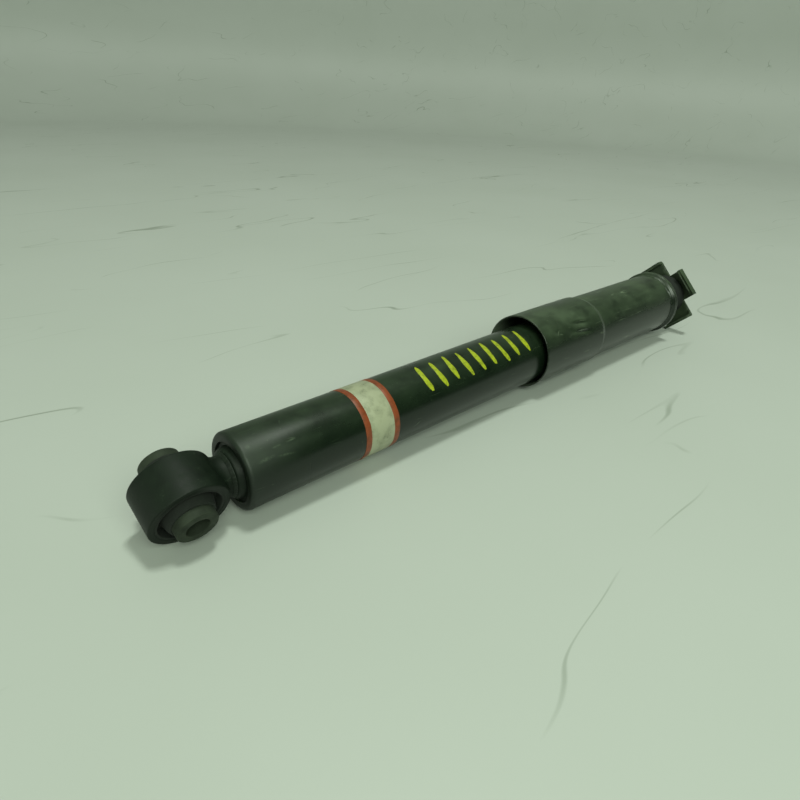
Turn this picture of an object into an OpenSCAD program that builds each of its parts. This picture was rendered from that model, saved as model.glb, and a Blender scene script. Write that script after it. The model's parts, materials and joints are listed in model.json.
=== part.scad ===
// Telescopic twin-tube rear shock absorber, lying fully extended.
// X runs along the damper from the lower eye to the top bracket, +Z is up, and the
// origin is the centre of the lower eye. All sizes are in millimetres.

/* [Overall] */
// Lower eye centre to the top face of the cross bracket, fully extended
eye_to_bracket = 590; // [560:1:710]
// Length of the outer body tube
tube_length = 297; // [248:1:356]
// Angle of the lower bush below the horizontal as the damper lies
bush_tilt = 22.5; // [0:0.5:60]
// Turn of the bracket's arms about the damper's axis
bracket_turn = 45; // [0:1:90]

/* [Lower eye] */
// Outer diameter of the eye ring
eye_od = 49; // [44:0.5:60]
// Wall of the eye ring
eye_wall = 4; // [3.3:0.1:4.8]
// Width of the eye ring
eye_width = 28; // [23:0.5:34]
// Offset of the eye ring from the middle of its sleeve
eye_offset = 2.3; // [0:0.1:4]
// Diameter of the neck that joins the ring to the end cap
neck_d = 26; // [21:0.5:31]
// Outer diameter of the steel inner sleeve
sleeve_od = 25; // [20:0.5:28]
// Bolt bore of the inner sleeve
sleeve_bore = 14.2; // [10.2:0.1:17.1]
// Length of the inner sleeve
sleeve_length = 50; // [40:0.5:60]
// Thickness of the rubber hub around the sleeve
hub_wall = 3.4; // [2:0.1:4.2]
// Length of the rubber hub around the sleeve
hub_length = 38; // [33:0.5:44]
// Width of the rubber web between hub and ring
web_width = 14; // [10:0.5:18]

/* [Body tube] */
// Outer diameter of the body tube
tube_od = 51; // [45:0.5:62]
// Wall of the body tube
tube_wall = 1.6; // [1.2:0.1:2]
// Radius of the rolled lower edge of the tube
lower_roll = 5.5; // [4.6:0.1:6.6]
// Flat lip that the lower roll ends in
lower_lip = 0.5; // [0.4:0.1:0.8]
// Radius of the rolled upper edge of the tube
upper_roll = 4; // [3.2:0.1:4.8]
// Flat lip that the upper roll holds the closure plate with
upper_lip = 2; // [1:0.1:3]
// Thickness of the pressed end cap
cap_wall = 2.7; // [2.2:0.1:3.2]
// How far the end cap's crown stands out of the tube
cap_rise = 3.5; // [2.9:0.1:4.2]
// Size of the weld bead between neck and end cap
weld_size = 2.2; // [1.8:0.1:2.6]

/* [Label] */
// Lower end of the tube to the label
label_from = 85; // [71:1:102]
// Width of the whole label along the tube
label_width = 29.6; // [24.7:0.1:35.5]
// Width of the coloured border at each side of the label
border_width = 4.7; // [3.9:0.1:5.6]
// Thickness of the label film
film = 0.15; // [0.1:0.01:0.2]

/* [Damping unit] */
// Bore of the pressure tube, which is the piston size
piston_bore = 30; // [25:0.5:36]
// Wall of the pressure tube
pressure_wall = 1.5; // [1.2:0.1:1.8]
// Diameter of the piston rod
rod_d = 12.5; // [12:0.1:15]
// Thread diameter at both ends of the rod
stud_d = 10; // [8:0.5:10.5]
// Length of the piston
piston_length = 14; // [12:0.5:17]
// Length of the band around the piston
band_length = 8; // [6.5:0.1:9.5]
// Depth of the groove that holds the band
band_groove = 1.5; // [1.2:0.1:1.8]
// Distance from the piston stack to the rebound stop
stop_spacing = 13; // [10:0.5:16]
// Length of the rebound bumper
bumper_length = 8; // [6.5:0.1:9.6]

/* [Rod guide and seal] */
// Length of the rod guide's wide part
guide_length = 18; // [15:0.5:22]
// Length of the guide's spigot inside the pressure tube
spigot_length = 8; // [6.5:0.1:9.6]
// Wall of the guide bush around the rod
bush_wall = 1.9; // [1.5:0.1:2.3]
// Height of the rod seal
seal_height = 7; // [5.8:0.1:8.4]
// Outer diameter of the rod seal
seal_od = 32; // [28:0.5:38]
// Thickness of the closure plate over the seal
closure_wall = 3.4; // [2.8:0.1:4.1]

/* [Dust cover] */
// Length of the dust cover from its open end to the top cup
cover_length = 232.1; // [193.5:0.1:278.5]
// Length of the wide part at the open end
cover_wide = 86.6; // [72:0.1:104]
// Length of the cone between the wide part and the rest
cover_cone = 5.5; // [4:0.1:8]
// Radial step from the wide part to the rest
cover_step = 1.65; // [1:0.05:3]
// Sheet thickness of the dust cover
cover_wall = 1.2; // [1:0.1:1.5]
// Flared end of the cover that is crimped onto the top cup
flare_length = 2.2; // [1.8:0.1:2.6]
// Flare above the rest of the cover, radially
flare_step = 2.35; // [1.5:0.05:2.9]
// Length of the foam bump stop
bump_length = 44; // [37:1:53]
// Outer diameter of the foam bump stop
bump_od = 40; // [33:1:48]

/* [Top mount] */
// Rim of the top cup along the damper
cup_rim = 3.5; // [3:0.1:4.2]
// Sheet thickness of the top cup
cup_wall = 2.5; // [2.1:0.1:3]
// Rubber cushion between the top cup and the bracket
cushion_height = 38; // [32:0.5:45.5]
// Outer diameter of the rubber cushion
cushion_od = 46; // [38:0.5:55]
// Wall of the steel spacer inside the cushion
spacer_wall = 3; // [2.5:0.1:3.6]
// Reach of the two longer bracket arms from the axis to their tips
long_reach = 35.5; // [33:0.5:42.6]
// Reach of the two shorter bracket arms
short_reach = 32.5; // [30:0.5:39]
// Width of each bracket arm
arm_width = 31.5; // [26:0.5:38]
// Sheet thickness of the bracket
bracket_wall = 3; // [2.5:0.1:3.6]
// Depth of the lip folded down at each arm's tip
lip_depth = 10; // [8:0.5:12]
// Stud beyond the bracket's top face, with its tip
stud_length = 36; // [30:0.5:43]
// Length of the tip that a spanner holds
tip_length = 7; // [6:0.5:8.4]
// Width of the tip across its flats
tip_flats = 6; // [5:0.5:6.5]
// Shank above the stud's thread, as diameter over the thread
shank_step = 0.4; // [0.3:0.1:0.6]

/* [Fits] */
// Radial clearance of parts that slide or turn on each other
running_gap = 0.05; // [0.02:0.01:0.08]
// Radial gap between the body tube and the dust cover's open end
cover_gap = 5.6; // [4.5:0.1:6.8]
// Gap left between the rebound bumper and the rod guide at full extension
stop_gap = 0.3; // [0.2:0.1:0.5]
// Gap between the eye ring and the end cap's crown, filled by the neck
neck_gap = 5; // [4.2:0.1:6]
// Radial gap around the rod in the bump stop and the closure plate
rod_gap = 0.4; // [0.2:0.05:0.6]

/* [Hidden] */
$fn = 96;
eps = 0.01;

// Width across the flats of the piston's nut
nut_flats = 16;
// Edge broken at the crown of the end cap, and the slope down to its shoulder
crown_edge = 0.4;
crown_drop = 3.2;
// Straight skirt of the end cap inside the tube
skirt_length = 7;
// Radial gap of the piston's body, which only its band bridges
piston_gap = 0.4;
// End of the rod that stands out of the piston's nut
rod_tail = 1.5;
// Shank of the stud that stands out of the bracket
shank_rise = 1;

// Radii that several pieces share
eye_r = eye_od / 2;
sleeve_r = sleeve_od / 2;
tube_r = tube_od / 2;
tube_in = tube_r - tube_wall;
press_r = piston_bore / 2;
rod_r = rod_d / 2;
stud_r = stud_d / 2;
shank_r = stud_r + shank_step / 2;
crown_r = neck_d / 2 + weld_size + 0.2 + crown_edge;
floor_r = crown_r - 2;
lower_lip_r = tube_r - lower_roll - lower_lip;
upper_lip_r = tube_r - upper_roll - upper_lip;
cover_in = tube_r + cover_gap;
cover_r = cover_in + cover_wall;
cover_neck_r = cover_r - cover_step;
flare_r = cover_neck_r + flare_step;

// Places along the damper, from the lower eye upwards
cap_x = eye_r + neck_gap;
tube_x = cap_x + cap_rise;
tube_end = tube_x + tube_length;
label_x = tube_x + label_from;
cap_floor_x = cap_x + cap_wall;
skirt_x = tube_x + lower_roll;
skirt_end = skirt_x + skirt_length;

// Places inside the top of the body tube, from its rolled edge downwards
closure_x = tube_end - tube_wall - closure_wall;
seal_x = closure_x - seal_height;
guide_x = seal_x - guide_length;
spigot_x = guide_x - spigot_length;

// Base valve, standing on the end cap
valve_height = 20;
valve_wall = 4;
valve_spigot = 8;
valve_seat_x = cap_floor_x + valve_height;
valve_under_x = valve_seat_x - valve_wall;
valve_top = valve_seat_x + valve_spigot;
valve_foot_r = min(press_r - 1, floor_r - 0.3);
valve_bolt_r = 3;
valve_plate_t = 1;
valve_spring_t = 2.5;
valve_shim_t = 1.2;

// Piston stack, hanging below the rebound stop
bumper_x = spigot_x - stop_gap - bumper_length;
collar_length = 4;
collar_x = bumper_x - collar_length;
washer_t = 2.5;
check_t = 1.5;
shim_t = 2;
stack_end = collar_x - stop_spacing;
piston_washer_x = stack_end - washer_t;
check_x = piston_washer_x - check_t;
piston_x = check_x - piston_length;
shim_x = piston_x - shim_t;
piston_nut_h = 8;
piston_nut_x = shim_x - piston_nut_h;
rod_start = piston_nut_x - rod_tail;
piston_r = press_r - piston_gap;
band_in = piston_r - band_groove;

// Top mount, from the bracket's top face downwards
bracket_x = eye_to_bracket;
plate_x = bracket_x - bracket_wall;
cup_end = plate_x - cushion_height;
cup_x = cup_end - cup_rim;
cover_x = cup_x - cover_length;
shoulder_x = cup_end - cup_wall;
cup_skirt_x = cup_x - flare_length;
shank_end = bracket_x + shank_rise;
stud_end = bracket_x + stud_length;
thread_end = stud_end - tip_length;

// Turns a profile drawn as [radius, place] about the damper's axis
module turned() {
    rotate([0, 90, 0]) rotate_extrude() children();
}

// Turns a profile drawn as [radius, place] about the lower bush's axis
module turned_in_eye() {
    rotate([bush_tilt, 0, 0]) rotate([90, 0, 0]) rotate_extrude() children();
}

// Flat ring section between two radii and two places
module band_2d(r_in, r_out, x_from, x_to) {
    translate([r_in, x_from]) square([r_out - r_in, x_to - x_from]);
}

// Plain ring or washer about the damper's axis
module ring(r_in, r_out, x_from, x_to) {
    turned() band_2d(r_in, r_out, x_from, x_to);
}

// Quarter of a rolled sheet edge; dir is 1 when the edge closes downwards
module rolled_edge_2d(r_out, x_edge, roll, sheet, dir) {
    centre = [r_out - roll, x_edge + dir * roll];
    intersection() {
        difference() {
            translate(centre) circle(r = roll);
            translate(centre) circle(r = roll - sheet);
        }
        translate([centre[0], min(centre[1], x_edge)]) square([roll, roll]);
    }
}

// Hexagonal nut with a round hole and chamfered corners on its outer face
module hex_nut(flats, x_from, height, hole_r) {
    corner_r = flats / sqrt(3);
    intersection() {
        translate([x_from, 0, 0]) rotate([0, 90, 0]) difference() {
            cylinder(h = height, r = corner_r, $fn = 6);
            translate([0, 0, -1]) cylinder(h = height + 2, r = hole_r);
        }
        turned() polygon([[0, x_from - 1], [corner_r + 1, x_from - 1],
                          [corner_r + 1, x_from + height - 1.6],
                          [flats / 2, x_from + height + eps], [0, x_from + height + eps]]);
    }
}

// Eye ring, and the short neck that is cut to sit on it and meets the end cap
module eye_ring() {
    chamfer = 0.8;
    neck_sink = 1;
    far = eye_offset - eye_width / 2;
    near = eye_offset + eye_width / 2;
    color([0.10, 0.11, 0.10]) {
        turned_in_eye() polygon([[eye_r - eye_wall, far], [eye_r - chamfer, far],
                                 [eye_r, far + chamfer], [eye_r, near - chamfer],
                                 [eye_r - chamfer, near], [eye_r - eye_wall, near]]);
        difference() {
            rotate([0, 90, 0]) cylinder(h = cap_x, r = neck_d / 2);
            rotate([bush_tilt, 0, 0]) rotate([90, 0, 0])
                cylinder(h = 2 * neck_d, r = eye_r - neck_sink, center = true);
        }
    }
}

// Weld bead where the neck meets the end cap
module neck_weld() {
    neck_r = neck_d / 2;
    color([0.16, 0.15, 0.14]) turned() polygon([
        [neck_r, cap_x - weld_size], [neck_r + weld_size * 0.6, cap_x - weld_size * 0.7],
        [neck_r + weld_size, cap_x], [neck_r, cap_x]]);
}

// Moulded rubber bush: a hub around the sleeve, a web, and a skin against the ring
module lower_bush() {
    bore_r = sleeve_r + running_gap;
    hub_r = bore_r + hub_wall;
    skin_r = eye_r - eye_wall;
    skin_in = skin_r - 1.6;
    hub_half = hub_length / 2;
    web_far = eye_offset - web_width / 2;
    web_near = eye_offset + web_width / 2;
    skin_far = eye_offset - eye_width / 2 + 0.5;
    skin_near = eye_offset + eye_width / 2 - 0.5;
    color([0.07, 0.07, 0.07]) turned_in_eye() polygon([
        [bore_r, -hub_half], [hub_r - 1.5, -hub_half], [hub_r, -hub_half + 3],
        [hub_r, web_far - 1], [hub_r + 1, web_far], [skin_in - 0.5, web_far],
        [skin_in, web_far - 0.5], [skin_in, skin_far], [skin_r, skin_far],
        [skin_r, skin_near], [skin_in, skin_near], [skin_in, web_near + 0.5],
        [skin_in - 0.5, web_near], [hub_r + 1, web_near], [hub_r, web_near + 1],
        [hub_r, hub_half - 3], [hub_r - 1.5, hub_half], [bore_r, hub_half]]);
}

// Steel sleeve that the lower bolt passes through
module bush_sleeve() {
    chamfer = 0.8;
    half = sleeve_length / 2;
    bore_r = sleeve_bore / 2;
    color([0.33, 0.32, 0.29]) turned_in_eye() polygon([
        [bore_r, -half], [sleeve_r - chamfer, -half], [sleeve_r, -half + chamfer],
        [sleeve_r, half - chamfer], [sleeve_r - chamfer, half], [bore_r, half]]);
}

// Pressed dome that closes the tube's lower end
module end_cap() {
    shoulder_r = lower_lip_r - 1;
    flange_r = tube_r - lower_roll;
    color([0.11, 0.12, 0.11]) turned() polygon([
        [0, cap_x], [crown_r - crown_edge, cap_x], [crown_r, cap_x + crown_edge],
        [shoulder_r, cap_x + crown_drop], [shoulder_r, tube_x + tube_wall],
        [flange_r, tube_x + tube_wall], [tube_in, skirt_x], [tube_in, skirt_end],
        [tube_in - cap_wall, skirt_end], [tube_in - cap_wall, skirt_x + 1],
        [flange_r - 1.5, tube_x + tube_wall + cap_wall],
        [shoulder_r - cap_wall, tube_x + tube_wall + cap_wall],
        [shoulder_r - cap_wall, cap_floor_x + 1.5], [floor_r, cap_floor_x],
        [0, cap_floor_x]]);
}

// Outer tube, rolled in at both ends
module body_tube() {
    color([0.10, 0.11, 0.10]) turned() {
        band_2d(tube_in, tube_r, skirt_x, tube_end - upper_roll);
        rolled_edge_2d(tube_r, tube_x, lower_roll, tube_wall, 1);
        band_2d(lower_lip_r, tube_r - lower_roll, tube_x, tube_x + tube_wall);
        rolled_edge_2d(tube_r, tube_end, upper_roll, tube_wall, -1);
        band_2d(upper_lip_r, tube_r - upper_roll, tube_end - tube_wall, tube_end);
    }
}

// Cream middle of the label
module label() {
    color([0.83, 0.82, 0.74])
        ring(tube_r, tube_r + film, label_x + border_width, label_x + label_width - border_width);
}

// Coloured border at each side of the label
module label_borders() {
    color([0.70, 0.24, 0.14]) for (x = [label_x, label_x + label_width - border_width])
        ring(tube_r, tube_r + film, x, x + border_width);
}

// Inner tube that the piston runs in
module pressure_tube() {
    color([0.62, 0.63, 0.64])
        ring(press_r, press_r + pressure_wall, valve_seat_x, guide_x);
}

// Base valve body: a ported foot, a flange under the pressure tube and a spigot in it
module base_valve_body() {
    foot_in = valve_foot_r - 2.6;
    foot_ports = 4;
    spigot_ports = 6;
    color([0.55, 0.55, 0.53]) difference() {
        turned() polygon([
            [foot_in, cap_floor_x], [valve_foot_r, cap_floor_x],
            [valve_foot_r, valve_under_x], [press_r + pressure_wall, valve_under_x],
            [press_r + pressure_wall, valve_seat_x], [press_r, valve_seat_x],
            [press_r, valve_top], [valve_bolt_r, valve_top],
            [valve_bolt_r, valve_under_x], [foot_in, valve_under_x]]);
        for (turn = [0 : 360 / foot_ports : 359])
            rotate([turn, 0, 0]) translate([cap_floor_x + 8, 0, 0])
                cylinder(h = 2 * press_r, d = 6);
        for (turn = [0 : 360 / spigot_ports : 359])
            rotate([turn, 0, 0]) translate([valve_under_x - 1, 0, press_r * 0.6])
                rotate([0, 90, 0]) cylinder(h = valve_wall + valve_spigot + 2, d = 3);
    }
}

// Bleed discs below the base valve body
module base_valve_shims() {
    color([0.70, 0.70, 0.70])
        ring(valve_bolt_r, press_r * 0.5, valve_under_x - valve_shim_t, valve_under_x);
}

// Intake plate above the base valve body
module base_valve_plate() {
    color([0.70, 0.70, 0.70])
        ring(valve_bolt_r, press_r - 2, valve_top, valve_top + valve_plate_t);
}

// Cone spring that closes the intake plate
module base_valve_spring() {
    x_from = valve_top + valve_plate_t;
    color([0.60, 0.60, 0.62]) turned() polygon([
        [press_r - 5, x_from], [press_r - 3.5, x_from],
        [valve_bolt_r + 1.2, x_from + valve_spring_t], [valve_bolt_r, x_from + valve_spring_t],
        [valve_bolt_r, x_from + valve_spring_t - 1]]);
}

// Bolt that holds the base valve together
module base_valve_bolt() {
    x_low = valve_under_x - valve_shim_t;
    x_high = valve_top + valve_plate_t + valve_spring_t;
    head_r = valve_bolt_r + 2.5;
    color([0.50, 0.50, 0.50]) turned() {
        band_2d(0, head_r, x_low - 3, x_low);
        band_2d(0, valve_bolt_r, x_low, x_high);
        band_2d(0, head_r, x_high, x_high + 2);
    }
}

// Sintered guide that closes the pressure tube and centres the rod
module rod_guide() {
    bore_r = rod_r + running_gap + bush_wall;
    color([0.45, 0.45, 0.44]) turned() polygon([
        [bore_r, spigot_x], [press_r - 0.6, spigot_x], [press_r, spigot_x + 0.6],
        [press_r, guide_x], [tube_in - 1, guide_x], [tube_in, guide_x + 1],
        [tube_in, seal_x], [bore_r, seal_x]]);
}

// Plain bearing in the rod guide
module guide_bush() {
    color([0.60, 0.48, 0.28])
        ring(rod_r + running_gap, rod_r + running_gap + bush_wall, spigot_x + 1, seal_x - 1);
}

// Lip seal around the rod
module rod_seal() {
    seal_r = seal_od / 2;
    lip_r = rod_r + running_gap;
    middle = seal_x + seal_height / 2;
    color([0.12, 0.10, 0.10]) turned() polygon([
        [lip_r, seal_x + 1], [lip_r + 2, seal_x], [seal_r, seal_x], [seal_r, closure_x],
        [lip_r + 2, closure_x], [lip_r, closure_x - 1], [lip_r, closure_x - 2],
        [lip_r + 1.5, middle], [lip_r, seal_x + 2]]);
}

// Steel plate that the rolled edge holds down on the seal
module closure_plate() {
    roll_in = upper_roll - tube_wall;
    color([0.40, 0.41, 0.42]) turned() polygon([
        [rod_r + rod_gap, closure_x], [tube_in, closure_x],
        [tube_in, closure_x + closure_wall - roll_in],
        [tube_in - roll_in, closure_x + closure_wall],
        [rod_r + rod_gap, closure_x + closure_wall]]);
}

// Sealing band that rides in the piston's groove
module piston_band() {
    middle = piston_x + piston_length / 2;
    half = band_length / 2 - running_gap;
    color([0.25, 0.24, 0.20])
        ring(band_in + running_gap, press_r - running_gap, middle - half, middle + half);
}

// Chromed rod with a threaded spigot at each end and a tip with two flats
module piston_rod() {
    chamfer = 1;
    tip_r = stud_r - chamfer;
    color([0.75, 0.76, 0.78]) {
        turned() polygon([
            [0, rod_start], [stud_r - chamfer, rod_start], [stud_r, rod_start + chamfer],
            [stud_r, stack_end], [rod_r, stack_end], [rod_r, shoulder_x], [shank_r, shoulder_x],
            [shank_r, shank_end], [stud_r, shank_end], [stud_r, thread_end - chamfer],
            [stud_r - chamfer, thread_end], [0, thread_end]]);
        intersection() {
            translate([thread_end - 1, 0, 0]) rotate([0, 90, 0])
                cylinder(h = tip_length + 1, r = tip_r);
            translate([thread_end - 1, -tip_flats / 2, -tip_r])
                cube([tip_length + 1, tip_flats, 2 * tip_r]);
        }
    }
}

// Piston with its band groove and flow ports
module piston() {
    middle = piston_x + piston_length / 2;
    half = band_length / 2;
    ports = 8;
    port_r = (stud_r + band_in) / 2;
    color([0.50, 0.50, 0.48]) difference() {
        turned() polygon([
            [stud_r, piston_x], [piston_r, piston_x], [piston_r, middle - half],
            [band_in, middle - half], [band_in, middle + half], [piston_r, middle + half],
            [piston_r, check_x], [stud_r, check_x]]);
        for (turn = [0 : 360 / ports : 359])
            rotate([turn, 0, 0]) translate([piston_x - 1, 0, port_r])
                rotate([0, 90, 0]) cylinder(h = piston_length + 2, d = 2.6);
    }
}

// Discs under the piston that meter the rebound stroke
module rebound_shims() {
    color([0.70, 0.70, 0.70]) turned() {
        band_2d(stud_r, band_in - 0.5, piston_x - shim_t / 2, piston_x);
        band_2d(stud_r, band_in - 3, shim_x, piston_x - shim_t / 2);
    }
}

// Check disc above the piston
module compression_shims() {
    color([0.70, 0.70, 0.70]) ring(stud_r, band_in - 0.5, check_x, piston_washer_x);
}

// Stop washer between the check disc and the rod's shoulder
module piston_washer() {
    color([0.55, 0.56, 0.56]) ring(stud_r, rod_r + 3, piston_washer_x, stack_end);
}

// Nut that holds the piston stack on the rod
module piston_nut() {
    color([0.50, 0.50, 0.50]) hex_nut(nut_flats, piston_nut_x, piston_nut_h, stud_r);
}

// Steel collar pressed on the rod below the rebound bumper
module rebound_collar() {
    color([0.55, 0.56, 0.56]) ring(rod_r, rod_r + 4, collar_x, bumper_x);
}

// Bumper that meets the rod guide at full extension
module rebound_bumper() {
    outer_r = rod_r + 5.5;
    top = bumper_x + bumper_length;
    color([0.20, 0.20, 0.19]) turned() polygon([
        [rod_r, bumper_x], [outer_r, bumper_x], [outer_r, top - 2],
        [outer_r - 1.5, top], [rod_r, top]]);
}

// Foam bump stop with three lobes, seated under the top cup
module bump_stop() {
    lobes = 3;
    pitch = bump_length / lobes;
    lobe_r = pitch / 2 + 0.6;
    bore_r = rod_r + rod_gap;
    bump_x = shoulder_x - bump_length;
    color([0.72, 0.68, 0.50]) turned() intersection() {
        union() {
            for (i = [0 : lobes - 1])
                translate([bump_od / 2 - lobe_r, bump_x + (i + 0.5) * pitch]) circle(r = lobe_r);
            band_2d(bore_r, bump_od / 2 - lobe_r, bump_x, shoulder_x);
        }
        band_2d(bore_r, bump_od / 2, bump_x, shoulder_x);
    }
}

// Sheet-steel dust cover, wide at its open end and flared onto the top cup
module dust_cover() {
    cone_x = cover_x + cover_wide;
    flare_x = cup_x - flare_length - flare_step;
    color([0.12, 0.13, 0.11]) turned() polygon([
        [cover_in, cover_x], [cover_r, cover_x], [cover_r, cone_x],
        [cover_neck_r, cone_x + cover_cone], [cover_neck_r, flare_x],
        [flare_r, cup_x - flare_length], [flare_r, cup_x],
        [flare_r - cover_wall, cup_x], [flare_r - cover_wall, cup_x - flare_length],
        [cover_neck_r - cover_wall, flare_x], [cover_neck_r - cover_wall, cone_x + cover_cone],
        [cover_in, cone_x]]);
}

// Pressed cup that carries the dust cover and sits on the rod's shoulder
module top_cup() {
    rim_r = flare_r;
    spigot_r = flare_r - cover_wall;
    edge = 2.5;
    color([0.12, 0.13, 0.11]) turned() difference() {
        union() {
            band_2d(shank_r, spigot_r, shoulder_x, cup_end);
            band_2d(spigot_r - cup_wall, spigot_r, cup_skirt_x, cup_end);
            band_2d(spigot_r - cup_wall, rim_r, cup_x, cup_end - edge);
            translate([rim_r - edge, cup_end - edge]) intersection() {
                circle(r = edge);
                square(edge);
            }
        }
        band_2d(0, shank_r, shoulder_x - 1, cup_end + 1);
    }
}

// Waisted rubber cushion between the top cup and the bracket
module top_cushion() {
    outer = cushion_od / 2;
    bore_r = shank_r + spacer_wall;
    waist = 2.5;
    sag = cushion_height / 2 + waist;
    groove_r = (sag * sag + pow(cushion_height / 2 - 3, 2)) / (2 * sag);
    color([0.08, 0.08, 0.08]) turned() difference() {
        band_2d(bore_r, outer, cup_end, plate_x);
        translate([outer - waist + groove_r, (cup_end + plate_x) / 2]) circle(r = groove_r);
    }
}

// Steel spacer that carries the clamping force through the cushion
module top_spacer() {
    color([0.45, 0.45, 0.45]) ring(shank_r, shank_r + spacer_wall, cup_end, plate_x);
}

// One arm of the cross with the lip folded down at its tip
module bracket_arm(reach) {
    bend = bracket_wall;
    half = arm_width / 2;
    rotate([90, 0, 90]) {
        translate([-half, 0, 0]) cube([arm_width, reach - bend, bracket_wall]);
        translate([-half, reach - bracket_wall, bend - lip_depth])
            cube([arm_width, bracket_wall, lip_depth - bend]);
        translate([-half, reach - bend, 0]) rotate([90, 0, 90]) intersection() {
            cylinder(h = arm_width, r = bend);
            cube([bend, bend, arm_width]);
        }
    }
}

// Pressed steel cross with four folded arm ends
module cross_bracket() {
    color([0.13, 0.14, 0.12]) difference() {
        translate([plate_x, 0, 0]) rotate([bracket_turn, 0, 0]) for (turn = [0, 180]) {
            rotate([turn, 0, 0]) bracket_arm(short_reach);
            rotate([turn + 90, 0, 0]) bracket_arm(long_reach);
        }
        translate([plate_x - 1, 0, 0]) rotate([0, 90, 0])
            cylinder(h = bracket_wall + 2, r = shank_r);
    }
}

eye_ring();
neck_weld();
lower_bush();
bush_sleeve();
end_cap();
body_tube();
label();
label_borders();
pressure_tube();
base_valve_body();
base_valve_shims();
base_valve_plate();
base_valve_spring();
base_valve_bolt();
rod_guide();
guide_bush();
rod_seal();
closure_plate();
piston_band();
piston_rod();
piston();
compression_shims();
rebound_shims();
piston_washer();
piston_nut();
rebound_collar();
rebound_bumper();
bump_stop();
dust_cover();
top_cup();
top_cushion();
top_spacer();
cross_bracket();
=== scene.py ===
import json
import math
import bpy
import bmesh
import numpy as np
from mathutils import Euler, Matrix, Vector


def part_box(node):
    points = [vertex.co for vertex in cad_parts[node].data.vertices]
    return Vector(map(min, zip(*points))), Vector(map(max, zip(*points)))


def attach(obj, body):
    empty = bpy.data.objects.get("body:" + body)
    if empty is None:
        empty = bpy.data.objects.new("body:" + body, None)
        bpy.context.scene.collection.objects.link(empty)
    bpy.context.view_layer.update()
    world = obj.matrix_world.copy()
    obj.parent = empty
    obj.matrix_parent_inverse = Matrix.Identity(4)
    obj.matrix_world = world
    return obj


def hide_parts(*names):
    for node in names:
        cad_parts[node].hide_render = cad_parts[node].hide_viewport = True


# Rear shock absorber lying on a bench. The frame's X runs along the damper, +Z is up.
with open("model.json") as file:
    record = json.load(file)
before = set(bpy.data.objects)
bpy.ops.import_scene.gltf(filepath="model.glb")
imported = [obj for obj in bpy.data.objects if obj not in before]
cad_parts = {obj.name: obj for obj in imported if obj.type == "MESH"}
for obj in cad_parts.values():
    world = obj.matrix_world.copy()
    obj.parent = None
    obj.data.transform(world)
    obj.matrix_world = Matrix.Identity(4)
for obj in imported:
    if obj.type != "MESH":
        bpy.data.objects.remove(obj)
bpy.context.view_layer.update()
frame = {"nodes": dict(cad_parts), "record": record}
record = frame["record"]
print("frame loaded:", len(frame["nodes"]), "nodes")

mm = 0.001
bodyOf = {node: body for body, nodes in record["behaviour"]["bodies"].items() for node in nodes}
mounts = {mount["name"]: mount for mount in record["mounts"]}


def low(node):
    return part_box(node)[0].x / mm


def high(node):
    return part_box(node)[1].x / mm


def radiusOf(node):
    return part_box(node)[1].z / mm


# ---- small helpers for meshes ----

def rounded(corners, arcSteps=5):
    # corners are (along, radius, rounding) of a closed outline; each corner becomes an arc
    points = []
    for i, (along, radius, rounding) in enumerate(corners):
        here = Vector((along, radius))
        back = Vector(corners[i - 1][:2]) - here
        on = Vector(corners[(i + 1) % len(corners)][:2]) - here
        if not rounding:
            points.append(here)
            continue
        half = back.angle(on) / 2
        reach = min(rounding / math.tan(half), 0.48 * back.length, 0.48 * on.length)
        arcRadius = reach * math.tan(half)
        centre = here + (back.normalized() + on.normalized()).normalized() * (arcRadius / math.sin(half))
        start, end = here + back.normalized() * reach - centre, here + on.normalized() * reach - centre
        first = math.atan2(start.y, start.x)
        swing = (math.atan2(end.y, end.x) - first + math.pi) % (2 * math.pi) - math.pi
        for k in range(arcSteps + 1):
            angle = first + swing * k / arcSteps
            points.append(centre + arcRadius * Vector((math.cos(angle), math.sin(angle))))
    return points


def filled(points, longest):
    # adds points along the outline's long straights, so that dents and ripples have something to move
    dense = []
    for i, here in enumerate(points):
        after = points[(i + 1) % len(points)]
        cuts = max(1, math.ceil((after - here).length / longest))
        dense += [here.lerp(after, k / cuts) for k in range(cuts)]
    return dense


def makePiece(name, verts, faces, material, sharpAngle=36):
    # verts are in millimetres, in the frame's own axes
    mesh = bpy.data.meshes.new(name)
    mesh.from_pydata([tuple(v) for v in np.asarray(verts) * mm], [], faces)
    bm = bmesh.new()
    bm.from_mesh(mesh)
    bmesh.ops.remove_doubles(bm, verts=bm.verts, dist=1e-7)
    bmesh.ops.recalc_face_normals(bm, faces=bm.faces)
    for face in bm.faces:
        face.smooth = True
    for edge in bm.edges:
        edge.smooth = edge.calc_face_angle(0) < math.radians(sharpAngle)
    bm.to_mesh(mesh)
    bm.free()
    piece = bpy.data.objects.new(name, mesh)
    bpy.context.scene.collection.objects.link(piece)
    mesh.materials.append(material)
    return piece


def gridFaces(rows, columns, base=0, ring=False, closed=False):
    # quads between points laid row by row; ring joins each row's ends, closed the last row to the first
    return [tuple(base + n for n in (i * columns + j, i * columns + (j + 1) % columns,
                                     (i + 1) % rows * columns + (j + 1) % columns,
                                     (i + 1) % rows * columns + j))
            for i in range(rows if closed else rows - 1)
            for j in range(columns if ring else columns - 1)]


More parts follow.
